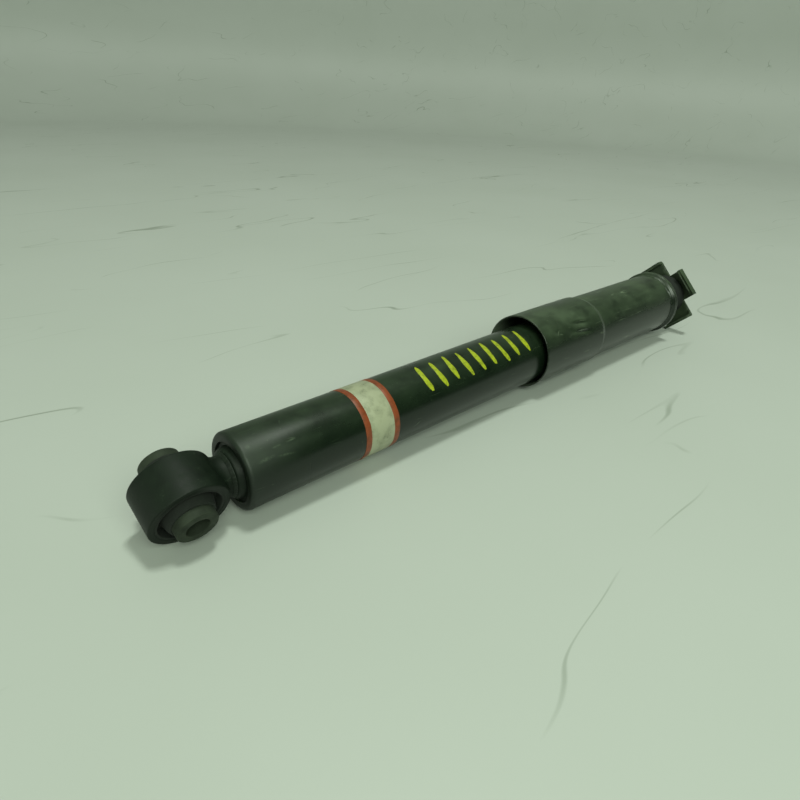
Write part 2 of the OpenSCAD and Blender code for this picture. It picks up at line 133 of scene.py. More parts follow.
def turnedGrid(outline, steps, axis=(1, 0, 0), up=(0, 0, 1), shape=None):
    # turns an outline of (along, radius) about an axis through the origin; angle 0 is up,
    # and it grows towards the camera's side. shape(along, radius, angle) may move each point
    axis, up = Vector(axis), Vector(up)
    side = axis.cross(up)
    along = np.array([p[0] for p in outline])[:, None] * np.ones(steps)
    radius = np.array([p[1] for p in outline])[:, None] * np.ones(steps)
    angle = np.linspace(0, 2 * np.pi, steps, endpoint=False)[None, :] * np.ones((len(outline), 1))
    if shape:
        along, radius = shape(along, radius, angle)
    verts = (along[..., None] * np.array(axis)
             + (radius * np.cos(angle))[..., None] * np.array(up)
             + (radius * np.sin(angle))[..., None] * np.array(side))
    return verts.reshape(-1, 3), gridFaces(len(outline), steps, ring=True, closed=True)


def standFor(piece, node):
    # the piece is shown in place of a CAD node, and moves with that node's body
    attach(piece, bodyOf[node])
    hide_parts(node)
    return piece


def bell(value, width):
    return np.exp(-(value / width) ** 2)


# ---- small helpers for materials ----

def hexColour(code):
    parts = [int(code[i:i + 2], 16) / 255 for i in (1, 3, 5)]
    return [c / 12.92 if c <= 0.04045 else ((c + 0.055) / 1.055) ** 2.4 for c in parts] + [1]


def perMetre(sizeInMm):
    return 1000 / sizeInMm


def addNode(tree, kind, settings={}, inputs={}):
    # one shader node with its settings, and its inputs as values or other nodes' outputs;
    # a node given as an input means its first output
    node = tree.nodes.new("ShaderNode" + kind)
    for name, value in settings.items():
        setattr(node, name, value)
    for name, value in inputs.items():
        value = value.outputs[0] if isinstance(value, bpy.types.Node) else value
        if isinstance(value, bpy.types.NodeSocket):
            tree.links.new(value, node.inputs[name])
        else:
            node.inputs[name].default_value = value
    return node


def startMaterial(name):
    material = bpy.data.materials.new(name)
    material.use_nodes = True
    material.node_tree.nodes.clear()
    return material, material.node_tree


def finishMaterial(tree, shaderInputs):
    shader = addNode(tree, "BsdfPrincipled", inputs=shaderInputs)
    addNode(tree, "OutputMaterial", inputs={"Surface": shader})


def scuffMask(tree, place, radius, spots):
    # rubbed places on a turned part; each is (along, angle from the top, half length, half width, slant)
    broken = addNode(tree, "TexNoise", inputs={
        "Vector": place, "Scale": perMetre(1.4), "Detail": 3.0, "Roughness": 0.7})
    mask = 0.0
    for along, angle, halfLength, halfWidth, slant in spots:
        turn = math.radians(angle)
        at = Vector((along, -radius * math.sin(turn), radius * math.cos(turn))) * mm
        lie = (Matrix.Rotation(turn, 3, "X") @ Matrix.Rotation(math.radians(slant), 3, "Z")).to_euler()
        local = addNode(tree, "Mapping", {"vector_type": "TEXTURE"}, {
            "Vector": place, "Location": at, "Rotation": lie,
            "Scale": Vector((halfLength, halfWidth, 3)) * mm})
        reach = addNode(tree, "VectorMath", {"operation": "LENGTH"}, {0: local})
        spot = addNode(tree, "MapRange", inputs={
            "Value": reach.outputs["Value"], "From Min": 0.3, "From Max": 1.0, "To Min": 1.0, "To Max": 0.0})
        mask = addNode(tree, "Math", {"operation": "MAXIMUM"}, {0: spot, 1: mask}).outputs[0]
    grit = addNode(tree, "MapRange", inputs={
        "Value": broken.outputs["Fac"], "From Min": 0.38, "From Max": 0.62, "To Min": 0.1, "To Max": 1.0})
    return addNode(tree, "Math", {"operation": "MULTIPLY"}, {0: mask, 1: grit}).outputs[0]


def hairlines(tree, laid, place, look, detail=2.0, roughness=0.5, width=(0.0, 0.006), patchEdge=(0.55, 0.68)):
    # thin lines where a stretched wave of noise crosses its middle, broken up by patches
    wave = addNode(tree, "TexNoise", inputs={
        "Vector": laid, "Scale": perMetre(look["scratchGap"]), "Detail": detail, "Roughness": roughness})
    off = addNode(tree, "Math", {"operation": "SUBTRACT"}, {0: wave.outputs["Fac"], 1: 0.5})
    off = addNode(tree, "Math", {"operation": "ABSOLUTE"}, {0: off})
    line = addNode(tree, "MapRange", inputs={
        "Value": off, "From Min": width[0], "From Max": width[1], "To Min": 1.0, "To Max": 0.0})
    patch = addNode(tree, "TexNoise", inputs={
        "Vector": place, "Scale": perMetre(look["scratchPatch"]), "Detail": 2.0})
    patch = addNode(tree, "MapRange", inputs={
        "Value": patch.outputs["Fac"], "From Min": patchEdge[0], "From Max": patchEdge[1],
        "To Min": 0.0, "To Max": look["scratches"]})
    return addNode(tree, "Math", {"operation": "MULTIPLY"}, {
        0: line, 1: patch}).outputs[0]


def paintedSteel(name, look):
    # paint over steel: a smooth film with orange peel, a film of dust that settled on the upper side,
    # streaks from wiping and handling along the part, hairline scratches and pale flecks
    material, tree = startMaterial(name)
    coords = addNode(tree, "TexCoord")
    place = coords.outputs["Object"]
    along = addNode(tree, "Mapping", inputs={"Vector": place, "Scale": (0.1, 1, 1)}).outputs[0]
    slanted = addNode(tree, "Mapping", inputs={
        "Vector": place, "Rotation": (0.4, 0.5, 0.9), "Scale": (0.06, 1, 1)}).outputs[0]
    cloud = addNode(tree, "TexNoise", inputs={
        "Vector": place, "Scale": perMetre(look["dustPatch"]), "Detail": 5.0, "Roughness": 0.62})
    streak = addNode(tree, "TexNoise", inputs={
        "Vector": along, "Scale": perMetre(look["streakWidth"]), "Detail": 4.0, "Roughness": 0.55})
    peel = addNode(tree, "TexNoise", inputs={
        "Vector": place, "Scale": perMetre(look["peelSize"]), "Detail": 1.0})
    upward = addNode(tree, "SeparateXYZ", inputs={0: coords.outputs["Normal"]})
    settled = addNode(tree, "MapRange", inputs={
        "Value": upward.outputs["Z"], "From Min": 0.3, "From Max": 1.0,
        "To Min": look["dustLow"], "To Max": look["dustTop"]})
    patchy = addNode(tree, "MapRange", inputs={
        "Value": cloud.outputs["Fac"], "From Min": 0.32, "From Max": 0.7, "To Min": 0.3, "To Max": 1.5})
    wiped = addNode(tree, "MapRange", inputs={
        "Value": streak.outputs["Fac"], "From Min": 0.3, "From Max": 0.7, "To Min": 0.75, "To Max": 1.2})
    dust = addNode(tree, "Math", {"operation": "MULTIPLY"}, {
        0: settled, 1: patchy})
    dust = addNode(tree, "Math", {"operation": "MULTIPLY", "use_clamp": True}, {
        0: dust, 1: wiped})

    scratch = hairlines(tree, slanted, place, look)
    fleck = addNode(tree, "TexVoronoi", inputs={"Vector": place, "Scale": perMetre(look["fleckGap"])})
    fleckSize = addNode(tree, "MapRange", inputs={
        "Value": fleck.outputs["Distance"], "From Min": 0.035, "From Max": 0.07, "To Min": look["flecks"],
        "To Max": 0.0})
    worn = addNode(tree, "Math", {"operation": "MAXIMUM", "use_clamp": True}, {
        0: scratch, 1: fleckSize})

    if "scuffs" in look:
        rubbed = addNode(tree, "Math", {"operation": "MULTIPLY"}, {
            0: scuffMask(tree, place, look["radius"], look["scuffs"]), 1: look["scuffShare"]})
        worn = addNode(tree, "Math", {"operation": "MAXIMUM", "use_clamp": True}, {
            0: rubbed, 1: worn})
    painted = addNode(tree, "Mix", {"data_type": "RGBA"}, {
        0: dust, 6: hexColour(look["paint"]), 7: hexColour(look["dust"])})
    painted = addNode(tree, "Mix", {"data_type": "RGBA"}, {
        0: worn, 6: painted.outputs[2], 7: hexColour(look["scuff"])})
    roughness = addNode(tree, "MapRange", inputs={
        "Value": dust, "To Min": look["roughness"], "To Max": look["dustRoughness"]})
    if "mattEnd" in look:        # the end that sits in the wheel's spray has lost its gloss
        position = addNode(tree, "SeparateXYZ", inputs={0: place})
        matt = addNode(tree, "MapRange", {"interpolation_type": "SMOOTHSTEP"}, {
            "Value": position.outputs["X"], "From Min": look["mattEnd"][0] * mm,
            "From Max": look["mattEnd"][1] * mm, "To Min": 1.0, "To Max": 0.0})
        roughness = addNode(tree, "Mix", inputs={
            0: matt, 2: roughness, 3: look["mattRoughness"]})
    height = addNode(tree, "Math", {"operation": "MULTIPLY_ADD"}, {
        0: worn, 1: 0.5, 2: peel.outputs["Fac"]})
    bump = addNode(tree, "Bump", inputs={
        "Strength": 1.0, "Distance": look["peelDepth"] * mm, "Height": height})
    finishMaterial(tree, {
        "Base Color": painted.outputs[2], "Roughness": roughness,
        "IOR": look["ior"], "Normal": bump})
    return material


def machinedMetal(name, look):
    # bare or plated metal: fine turning marks round the part and slow patches of tarnish
    material, tree = startMaterial(name)
    place = addNode(tree, "TexCoord").outputs["Object"]
    around = addNode(tree, "Mapping", inputs={"Vector": place, "Scale": (1, 0.02, 0.02)}).outputs[0]
    marks = addNode(tree, "TexNoise", inputs={
        "Vector": around, "Scale": perMetre(look["markPitch"]), "Detail": 3.0})
    tarnish = addNode(tree, "TexNoise", inputs={
        "Vector": place, "Scale": perMetre(look["tarnishPatch"]), "Detail": 4.0})
    amount = addNode(tree, "MapRange", inputs={
        "Value": tarnish.outputs["Fac"], "From Min": 0.4, "From Max": 0.7})
    colour = addNode(tree, "Mix", {"data_type": "RGBA"}, {
        0: amount, 6: hexColour(look["metal"]), 7: hexColour(look["tarnish"])})
    roughness = addNode(tree, "MapRange", inputs={
        "Value": amount, "To Min": look["roughness"], "To Max": look["roughness"] + 0.15})
    bump = addNode(tree, "Bump", inputs={
        "Strength": 1.0, "Distance": look["markDepth"] * mm, "Height": marks.outputs["Fac"]})
    finishMaterial(tree, {
        "Base Color": colour.outputs[2], "Metallic": look["metallic"],
        "Roughness": roughness, "Normal": bump})
    return material


def mouldedPolymer(name, look):
    # rubber, foam or plastic from a mould: fine grain, and a grey bloom of dust in patches
    material, tree = startMaterial(name)
    place = addNode(tree, "TexCoord").outputs["Object"]
    grain = addNode(tree, "TexNoise", inputs={
        "Vector": place, "Scale": perMetre(look["grain"]), "Detail": 2.0})
    bloomNoise = addNode(tree, "TexNoise", inputs={
        "Vector": place, "Scale": perMetre(look["bloomPatch"]), "Detail": 5.0, "Roughness": 0.65})
    bloomed = addNode(tree, "MapRange", inputs={
        "Value": bloomNoise.outputs["Fac"], "From Min": 0.35, "From Max": 0.75, "To Min": 0.0,
        "To Max": look["bloomShare"]})
    colour = addNode(tree, "Mix", {"data_type": "RGBA"}, {
        0: bloomed, 6: hexColour(look["polymer"]), 7: hexColour(look["bloom"])})
    bump = addNode(tree, "Bump", inputs={
        "Strength": 1.0, "Distance": look["grainDepth"] * mm, "Height": grain.outputs["Fac"]})
    finishMaterial(tree, {
        "Base Color": colour.outputs[2], "Roughness": look["roughness"],
        "IOR": look["ior"], "Normal": bump})
    return material


# black dip paint on drawn tube: satin, dark in the middle, paler where dust lies on top
blackDipPaint = paintedSteel("blackDipPaint", {
    "paint": "#0c160d", "dust": "#31422c", "scuff": "#53624c", "ior": 1.47, "dustPatch": 24, "streakWidth": 5,
    "dustLow": 0.04, "dustTop": 0.45, "peelSize": 1.8, "peelDepth": 0.015, "scratchGap": 9,
    "scratchPatch": 14, "scratches": 0.8, "fleckGap": 6, "flecks": 0.5,
    "roughness": 0.24, "dustRoughness": 0.42, "mattEnd": (34, 84), "mattRoughness": 0.5,
    "radius": 25.5, "scuffShare": 0.35,
    "scuffs": [(46, 54, 7, 1.4, 4), (39, 29, 2.2, 1.6, 0), (59, 58, 7, 1.0, -8), (66, 9, 3, 0.7, 60)]})

# the same paint on the forging: rougher under it, and dulled by oily dirt, hence the IOR below a paint's
soiledDipPaint = paintedSteel("soiledDipPaint", {
    "paint": "#061007", "dust": "#101d10", "scuff": "#4a5745", "ior": 1.34, "dustPatch": 9, "streakWidth": 4,
    "dustLow": 0.3, "dustTop": 0.8, "peelSize": 1.4, "peelDepth": 0.03, "scratchGap": 6,
    "scratchPatch": 9, "scratches": 0.35, "fleckGap": 5, "flecks": 0.35,
    "roughness": 0.48, "dustRoughness": 0.66})

# the same kind of paint on the thin cover sheet, under a thicker olive film of road dust
coverPaint = paintedSteel("dustyCoverPaint", {
    "paint": "#121b12", "dust": "#43513c", "scuff": "#76836c", "ior": 1.48, "dustPatch": 30, "streakWidth": 6,
    "dustLow": 0.05, "dustTop": 0.85, "peelSize": 2.2, "peelDepth": 0.02, "scratchGap": 11,
    "scratchPatch": 16, "scratches": 0.8, "fleckGap": 8, "flecks": 0.4,
    "roughness": 0.24, "dustRoughness": 0.45, "radius": 32.3, "scuffShare": 0.75,
    "scuffs": [(372, 40, 9.5, 0.35, -8), (368, 54, 9.5, 0.4, -3), (334, 45, 4, 0.5, 40),
               (337, 49, 3, 0.4, -20)]})

# inside the cover a flat paint far paler than the outside's: painted light, lifting the shaded inside of the
# mouth, under fine dry dust
insidePaintedLightAndDust = paintedSteel("coverInsidePaintedLightDusty", {
    "paint": "#4c5848", "dust": "#6a7763", "scuff": "#76836c", "ior": 1.45, "dustPatch": 20, "streakWidth": 6,
    "dustLow": 0.5, "dustTop": 0.7, "peelSize": 1.2, "peelDepth": 0.01, "scratchGap": 12,
    "scratchPatch": 16, "scratches": 0.2, "fleckGap": 9, "flecks": 0.2,
    "roughness": 0.7, "dustRoughness": 0.85})

# electrophoretic primer on pressed sheet: matt, even and a little green
bracketPaint = paintedSteel("matteDipPrimer", {
    "paint": "#283423", "dust": "#44533b", "scuff": "#6e7c63", "ior": 1.45, "dustPatch": 12, "streakWidth": 4,
    "dustLow": 0.45, "dustTop": 0.85, "peelSize": 1.2, "peelDepth": 0.02, "scratchGap": 7,
    "scratchPatch": 9, "scratches": 0.5, "fleckGap": 6, "flecks": 0.3,
    "roughness": 0.42, "dustRoughness": 0.6})

# paint that sagged over a weld bead: glossier crests with dirt between the ripples
weldPaint = paintedSteel("paintedWeldBead", {
    "paint": "#0b130c", "dust": "#1c281b", "scuff": "#4a5745", "ior": 1.4, "dustPatch": 5, "streakWidth": 2,
    "dustLow": 0.3, "dustTop": 0.8, "peelSize": 0.8, "peelDepth": 0.08, "scratchGap": 3,
    "scratchPatch": 5, "scratches": 0.3, "fleckGap": 3, "flecks": 0.5,
    "roughness": 0.5, "dustRoughness": 0.7})

# natural rubber with carbon black: deep matt black that greys where it has bloomed
blackRubber = mouldedPolymer("naturalRubber", {
    "polymer": "#0c120c", "bloom": "#1c251b", "grain": 0.7, "grainDepth": 0.03, "bloomPatch": 8,
    "bloomShare": 0.6, "roughness": 0.85, "ior": 1.52})

# microcellular polyurethane: dull straw colour with fine open cells
polyurethaneFoam = mouldedPolymer("microcellularFoam", {
    "polymer": "#b9ad7e", "bloom": "#8d8462", "grain": 0.9, "grainDepth": 0.12, "bloomPatch": 9,
    "bloomShare": 0.7, "roughness": 0.85, "ior": 1.45})

# glass and bronze filled PTFE: waxy grey brown
filledPtfe = mouldedPolymer("filledPtfe", {
    "polymer": "#403d34", "bloom": "#55513f", "grain": 0.5, "grainDepth": 0.01, "bloomPatch": 4,
    "bloomShare": 0.5, "roughness": 0.4, "ior": 1.38})

metals = {  # bare metals, each with the roughness of how it was made
    "zincPlatedSleeve": {"metal": "#2e3729", "tarnish": "#222a1e", "metallic": 0.3, "roughness": 0.7,
                         "markPitch": 0.8, "markDepth": 0.01, "tarnishPatch": 9},   # dulled by oil and dust
    "drawnSteel": {"metal": "#9a9c9e", "tarnish": "#7d7f80", "metallic": 1.0, "roughness": 0.32,
                   "markPitch": 0.5, "markDepth": 0.004, "tarnishPatch": 20},       # pale and smooth
    "sinteredIron": {"metal": "#75756f", "tarnish": "#55554f", "metallic": 1.0, "roughness": 0.58,
                     "markPitch": 0.3, "markDepth": 0.02, "tarnishPatch": 3},        # grainy and grey
    "springSteel": {"metal": "#a3a4a6", "tarnish": "#86878a", "metallic": 1.0, "roughness": 0.25,
                    "markPitch": 0.4, "markDepth": 0.003, "tarnishPatch": 12},      # bright strip
    "leadedBronze": {"metal": "#a08250", "tarnish": "#7a6238", "metallic": 1.0, "roughness": 0.35,
                     "markPitch": 0.5, "markDepth": 0.004, "tarnishPatch": 6},      # brown gold
    "hardChrome": {"metal": "#c6c8cb", "tarnish": "#b0b2b6", "metallic": 1.0, "roughness": 0.1,
                   "markPitch": 0.3, "markDepth": 0.001, "tarnishPatch": 30},       # mirror finish
    "zincPlate": {"metal": "#8b8d85", "tarnish": "#6a6a5c", "metallic": 1.0, "roughness": 0.42,
                  "markPitch": 0.6, "markDepth": 0.006, "tarnishPatch": 6}}         # pale and cloudy
metals = {name: machinedMetal(name, look) for name, look in metals.items()}
print("materials made")


# ---- lower eye ----

eye = {
    "edge": 0.9,          # rounding of the ring's edges, mm
    "neckRadius": 13.0,
    "flareAround": 4.0,   # how far the neck spreads along the ring's curve
    "flareAcross": 0.7,   # and towards the ring's flat sides
    "sink": 0.35,
    "intoRing": 1.5,      # how far the neck runs on inside the ring, and inside the cap
    "intoCap": 0.6}
bushAxis = Vector(mounts["lower_eye"]["axis"])
tilt = math.asin(-bushAxis.z)
ringRadius = -low("eye_ring")
ringBore = high("lower_bush")
ringSides = [corner.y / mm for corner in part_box("eye_ring")]      # near side, far side
ringMid = -sum(ringSides) / 2 / math.cos(tilt)                    # the sleeve sits off the ring's middle
ringHalf = ((ringSides[1] - ringSides[0]) / 2 - ringRadius * math.sin(tilt)) / math.cos(tilt)
ringFar, ringNear = ringMid - ringHalf, ringMid + ringHalf
capTop = low("end_cap")
eyeSide = bushAxis.cross(Vector((1, 0, 0)))

ringOutline = rounded([
    (ringFar, ringBore, 0.4), (ringFar, ringRadius, eye["edge"]),
    (ringNear, ringRadius, eye["edge"]), (ringNear, ringBore, 0.4)])
ringVerts, ringFaces = turnedGrid(ringOutline, 160, bushAxis, (1, 0, 0))

neckSteps, flareRows, straightRows = 96, 8, 4
neckAngle = np.linspace(0, 2 * np.pi, neckSteps, endpoint=False)
reach = eye["flareAcross"] + (eye["flareAround"] - eye["flareAcross"]) * np.cos(neckAngle) ** 2
neckRows = []
for row in range(flareRows + straightRows):
    if row < flareRows:      # the flare, from its toe on the ring to the straight neck
        share = 1 - row / (flareRows - 1)
        out = eye["neckRadius"] + reach * share
        lift = reach * (1 - np.sqrt(1 - (1 - share) ** 2)) - eye["sink"] * share
        around = out * np.cos(neckAngle)
        x = np.sqrt(np.maximum(ringRadius ** 2 - around ** 2, 0)) + lift
    else:                    # the straight neck up to the end cap
        out = np.full(neckSteps, eye["neckRadius"])
        x = x + (capTop + eye["intoCap"] - x) * (row - flareRows + 1) / straightRows
    neckRows.append(np.stack([x, out * np.cos(neckAngle), out * np.sin(neckAngle)], 1))
neckRows.insert(0, neckRows[0] - np.array([eye["intoRing"], 0, 0]))
neck = np.array(neckRows)
neckVerts = (neck[..., :1] * np.array((1.0, 0, 0)) + neck[..., 1:2] * np.array(eyeSide)
             + neck[..., 2:] * np.array(bushAxis)).reshape(-1, 3)
start = len(ringVerts)
neckFaces = gridFaces(len(neck), neckSteps, start, ring=True)
neckFaces += [tuple(start + j for j in range(neckSteps)),
              tuple(start + (len(neck) - 1) * neckSteps + j for j in range(neckSteps))]
standFor(makePiece("eyeRing", np.vstack([ringVerts, neckVerts]), ringFaces + neckFaces, soiledDipPaint),
         "eye_ring")

weld = {"ripples": 34, "rippleHeight": 0.2, "lumps": 0.15}


def weldShape(along, radius, angle):
    ripple = np.abs(np.sin(weld["ripples"] / 2 * angle + 0.5 * np.sin(3 * angle)))
    outer = np.clip((radius - eye["neckRadius"]) / 1.6, 0, 1)
    swell = weld["rippleHeight"] * (ripple - 0.6) + weld["lumps"] * np.sin(5 * angle + 1) * np.sin(2 * angle)
    return along - 0.4 * outer * swell, radius + outer * swell


weldFoot = low("neck_weld") + 0.2
weldOutline = filled(rounded([
    (weldFoot, eye["neckRadius"] - 0.8, 0), (weldFoot, eye["neckRadius"] + 0.2, 0.3),
    (capTop + 0.3, eye["neckRadius"] + 2.1, 0.3), (capTop + 0.3, eye["neckRadius"] - 0.8, 0)], 4), 0.5)
standFor(makePiece("neckWeld", *turnedGrid(weldOutline, 288, shape=weldShape), weldPaint),
         "neck_weld")

bush = {
    "hubHalf": 19.0,      # half length of the rubber round the sleeve
    "hubEnd": 13.7,       # its radius at the ends, and at the web
    "hubFoot": 16.4,
    "webHalf": 7.0,
    "skinHalf": 13.5,     # rubber left against the ring's bore
    "skinInner": 18.9}
sleeveRadius = high("bush_sleeve")
sleeveHalf = (Vector(mounts["sleeve_end_near"]["pos_m"])
              - Vector(mounts["sleeve_end_far"]["pos_m"])).length / 2 / mm
sleeveBore = mounts["lower_eye"]["dims"]["r_mm"]
bushSides = [[
    (ringMid + side * bush["skinHalf"], ringBore, 0),
    (ringMid + side * bush["skinHalf"], bush["skinInner"], 0.7),
    (ringMid + side * bush["webHalf"], bush["skinInner"] - 0.4, 2.2),
    (ringMid + side * bush["webHalf"], bush["hubFoot"], 1.8),
    (side * (bush["hubHalf"] - 2.5), bush["hubEnd"] + 0.9, 2.5),
    (side * bush["hubHalf"], bush["hubEnd"], 0.8),
    (side * bush["hubHalf"], sleeveRadius + 0.05, 0)] for side in (1, -1)]
bushOutline = rounded(bushSides[0] + bushSides[1][::-1])
standFor(makePiece("lowerBush", *turnedGrid(bushOutline, 144, bushAxis, (1, 0, 0)), blackRubber),
         "lower_bush")

sleeve = {"outerEdge": 0.9, "boreEdge": 0.7}
sleeveOutline = rounded([
    (-sleeveHalf, sleeveBore, sleeve["boreEdge"]), (-sleeveHalf, sleeveRadius, sleeve["outerEdge"]),
    (sleeveHalf, sleeveRadius, sleeve["outerEdge"]), (sleeveHalf, sleeveBore, sleeve["boreEdge"])])
standFor(makePiece("bushSleeve", *turnedGrid(sleeveOutline, 128, bushAxis, (1, 0, 0)),
                   metals["zincPlatedSleeve"]), "bush_sleeve")
print("lower eye made")


# ---- body tube, end cap and label ----

tube = {"wall": 1.6, "lowerRoll": 5.5, "upperRoll": 4.0, "lowerLip": 19.5, "upperLip": 19.5}
tubeFrom, tubeTo, tubeRadius = low("body_tube"), high("body_tube"), radiusOf("body_tube")
tubeOutline = rounded([
    (tubeFrom, tube["lowerLip"], 0.5), (tubeFrom, tubeRadius, tube["lowerRoll"]),
    (tubeTo, tubeRadius, tube["upperRoll"]), (tubeTo, tube["upperLip"], 0.5),
    (tubeTo - tube["wall"], tube["upperLip"], 0.5),
    (tubeTo - tube["wall"], tubeRadius - tube["wall"], tube["upperRoll"] - tube["wall"]),
    (tubeFrom + tube["wall"], tubeRadius - tube["wall"], tube["lowerRoll"] - tube["wall"]),
    (tubeFrom + tube["wall"], tube["lowerLip"], 0.5)], 8)
standFor(makePiece("bodyTube", *turnedGrid(tubeOutline, 160), blackDipPaint), "body_tube")

cap = {"wall": 2.7, "crown": 15.4, "shoulder": 16.9, "drop": 4.6, "skirt": 7}
skirtEnd, skirtRadius = high("end_cap"), tubeRadius - tube["wall"] - 0.02     # a hair inside the tube
capOutline = rounded([
    (capTop, 0, 0), (capTop, cap["crown"], 2.2), (capTop + cap["drop"], cap["shoulder"], 1.0),
    (tubeFrom + tube["wall"], cap["shoulder"], 0.3),
    (tubeFrom + tube["wall"], tubeRadius - tube["lowerRoll"], 1),
    (skirtEnd - cap["skirt"], skirtRadius, 2), (skirtEnd, skirtRadius, 0.5),
    (skirtEnd, tubeRadius - tube["wall"] - cap["wall"], 0.5),
    (skirtEnd - cap["skirt"] + 1, tubeRadius - tube["wall"] - cap["wall"], 2),
    (tubeFrom + tube["wall"] + cap["wall"], cap["shoulder"] - cap["wall"], 1),
    (capTop + cap["wall"] + 1.5, cap["shoulder"] - cap["wall"], 1), (capTop + cap["wall"], 0, 0)])
standFor(makePiece("endCap", *turnedGrid(capOutline, 144), soiledDipPaint), "end_cap")


def printedFilm(name, look):
    # printed film on the tube: satin, with grime ground in as specks, smudges and dark edges
    material, tree = startMaterial(name)
    place = addNode(tree, "TexCoord").outputs["Object"]
    specks = addNode(tree, "TexNoise", inputs={
        "Vector": place, "Scale": perMetre(look["speckSize"]), "Detail": 3.0, "Roughness": 0.7})
    smudge = addNode(tree, "TexNoise", inputs={
        "Vector": place, "Scale": perMetre(look["smudgeSize"]), "Detail": 4.0, "Roughness": 0.6})
    speckMask = addNode(tree, "MapRange", inputs={
        "Value": specks.outputs["Fac"], "From Min": 0.6, "From Max": 0.7})
    smudgeMask = addNode(tree, "MapRange", inputs={
        "Value": smudge.outputs["Fac"], "From Min": 0.42, "From Max": 0.68})
    grime = addNode(tree, "Math", {"operation": "MULTIPLY"}, {
        0: speckMask, 1: smudgeMask})
    stained = addNode(tree, "Mix", {"data_type": "RGBA"}, {
        0: smudgeMask, 6: hexColour(look["ink"]), 7: hexColour(look["stain"])})
    colour = addNode(tree, "Mix", {"data_type": "RGBA"}, {
        0: grime, 6: stained.outputs[2], 7: hexColour(look["grime"])})
    bump = addNode(tree, "Bump", inputs={
        "Strength": 1.0, "Distance": look["roughDepth"] * mm, "Height": specks.outputs["Fac"]})
    finishMaterial(tree, {
        "Base Color": colour.outputs[2], "Roughness": look["roughness"], "IOR": 1.47,
        "Normal": bump})
    return material


# cream label film, grubby from handling
creamFilm = printedFilm("creamLabelFilm", {
    "ink": "#a2a58a", "stain": "#898d74", "grime": "#525842", "speckSize": 1.3, "smudgeSize": 7,
    "roughDepth": 0.02, "roughness": 0.48})
# brick coloured printing on the same film, dulled by grime
brickFilm = printedFilm("brickPrintedFilm", {
    "ink": "#87401f", "stain": "#683417", "grime": "#3a2c1c", "speckSize": 1.1, "smudgeSize": 5,
    "roughDepth": 0.02, "roughness": 0.45})

label = {"seamAngle": 248, "seamGap": 1.2, "seamDepth": 0.3, "edgeWobble": 0.12, "under": 0.05}


def filmShape(along, radius, angle):
    # the film's ends stop short of each other at a seam behind the tube
    fromSeam = np.degrees(angle) - label["seamAngle"]
    gap = label["seamGap"] / tubeRadius * 57.3       # 57.3 degrees to a radian
    sunk = bell(fromSeam, gap)
    wobble = label["edgeWobble"] * (np.sin(7 * angle) + 0.6 * np.sin(17 * angle + 1)) / 1.6
    return along + wobble, radius - label["seamDepth"] * sunk


filmTop = radiusOf("label")
for name, node, film, slot, spans in (
        ("labelFilm", "label", creamFilm, "label_cream", [(low("label"), high("label"))]),
        ("labelBorders", "label_borders", brickFilm, "label_orange",
         [(low("label_borders"), low("label")), (high("label"), high("label_borders"))])):
    verts, faces = [], []
    for spanFrom, spanTo in spans:
        outline = rounded([(spanFrom, tubeRadius - label["under"], 0), (spanFrom, filmTop, 0.05),
                           (spanTo, filmTop, 0.05), (spanTo, tubeRadius - label["under"], 0)], 2)
        bandVerts, bandFaces = turnedGrid(outline, 360, shape=filmShape)
        faces += [tuple(len(verts) + n for n in face) for face in bandFaces]
        verts += list(bandVerts)
    standFor(makePiece(name, verts, faces, film), node)
print("body tube and label made")


# ---- paint-marker slashes on the body ----

marks = {
    "count": 9, "firstX": 184.0, "spacing": 14.4, "startAngle": 0.0, "endAngle": 54.0,
    "widest": 5.6, "thickness": 0.14, "under": 0.03, "hook": -1.8,
    "sway": 1.6, "swayAngle": 2.5,      # how unevenly the strokes were drawn, mm and degrees
    "rows": 40, "columns": 9}


def markerPaint(name, look):
    # paint-marker ink: opaque in the middle of a stroke, thin and dirty where it was dragged
    material, tree = startMaterial(name)
    place = addNode(tree, "TexCoord").outputs["Object"]
    dragged = addNode(tree, "TexNoise", inputs={
        "Vector": place, "Scale": perMetre(look["dragSize"]), "Detail": 4.0, "Roughness": 0.65})
    thin = addNode(tree, "MapRange", inputs={
        "Value": dragged.outputs["Fac"], "From Min": 0.45, "From Max": 0.72, "To Min": 0.0, "To Max": 0.75})
    colour = addNode(tree, "Mix", {"data_type": "RGBA"}, {
        0: thin, 6: hexColour(look["ink"]), 7: hexColour(look["thinInk"])})
    bump = addNode(tree, "Bump", inputs={
        "Strength": 1.0, "Distance": look["dragDepth"] * mm, "Height": dragged.outputs["Fac"]})
    finishMaterial(tree, {"Base Color": colour.outputs[2], "Roughness": look["roughness"],
                          "IOR": look["ior"], "Normal": bump})
    return material


# yellow paint marker, as a yard uses to tick off a part
yellowMarker = markerPaint("yellowPaintMarker", {
    "ink": "#a3ae20", "thinInk": "#5c6618", "dragSize": 2.6, "dragDepth": 0.04,
    "roughness": 0.42, "ior": 1.48})

